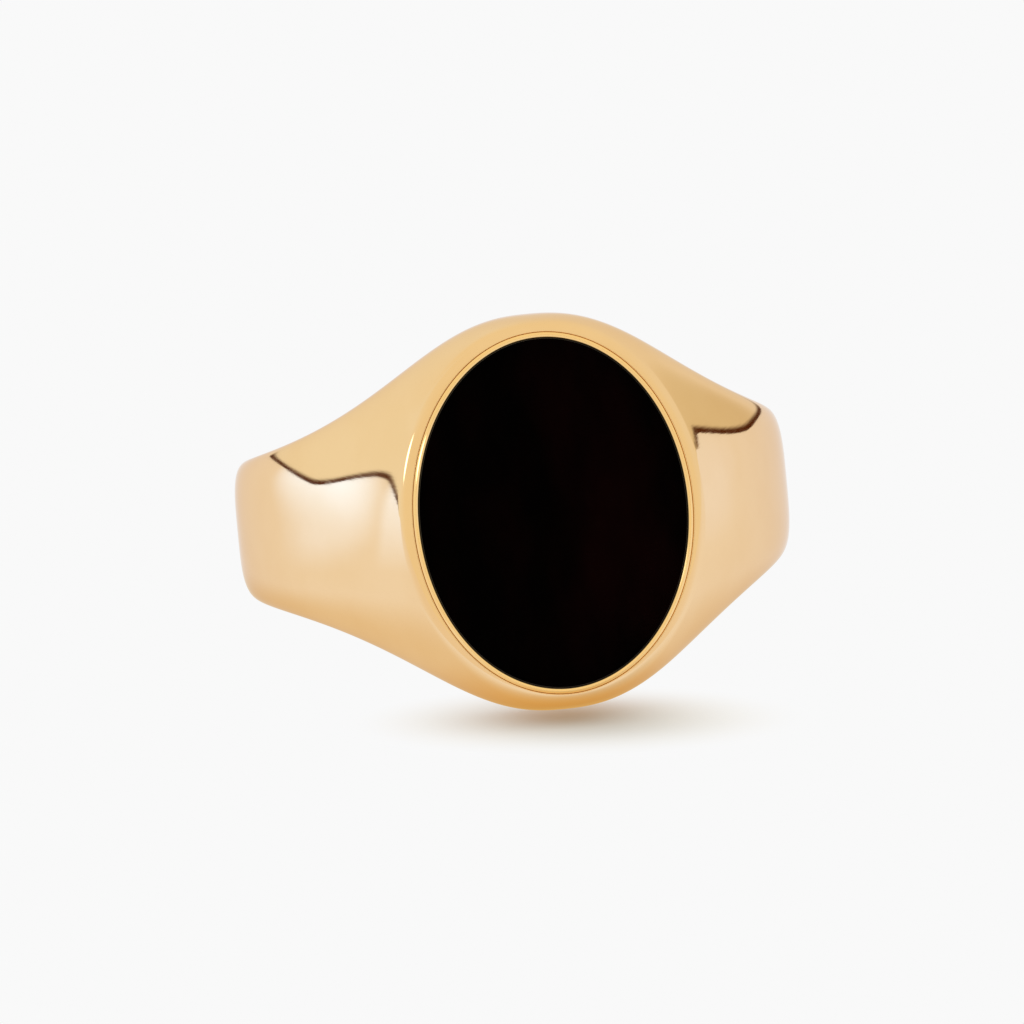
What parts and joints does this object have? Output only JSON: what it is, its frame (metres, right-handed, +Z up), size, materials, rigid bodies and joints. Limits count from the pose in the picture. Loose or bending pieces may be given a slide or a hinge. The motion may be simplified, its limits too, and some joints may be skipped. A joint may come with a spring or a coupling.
{
  "type": "signet ring",
  "caption": "Polished gold signet ring with an oval head, tapering shoulders and a flat black oval stone held by a thin collar.",
  "frame": {"origin": "on the ground, under the middle of the ring's box, with the ring standing on the lower edge of its head and the back of its shank", "axes": "-Y to the front, where the head faces and leans back; +X across the ring, square to its plane of mirror symmetry; +Z up"},
  "size_m": [0.0212, 0.0238, 0.0146],
  "materials": {
    "polished_gold": "polished yellow gold",
    "collar_gold": "polished yellow gold",
    "black_onyx": "polished black onyx",
    "cement": "matt setting cement"
  },
  "bodies": {
    "root": {"ring_body": "polished_gold", "bezel_collar": "collar_gold", "onyx_stone": "black_onyx", "setting_cement": "cement"}
  },
  "joints": []
}
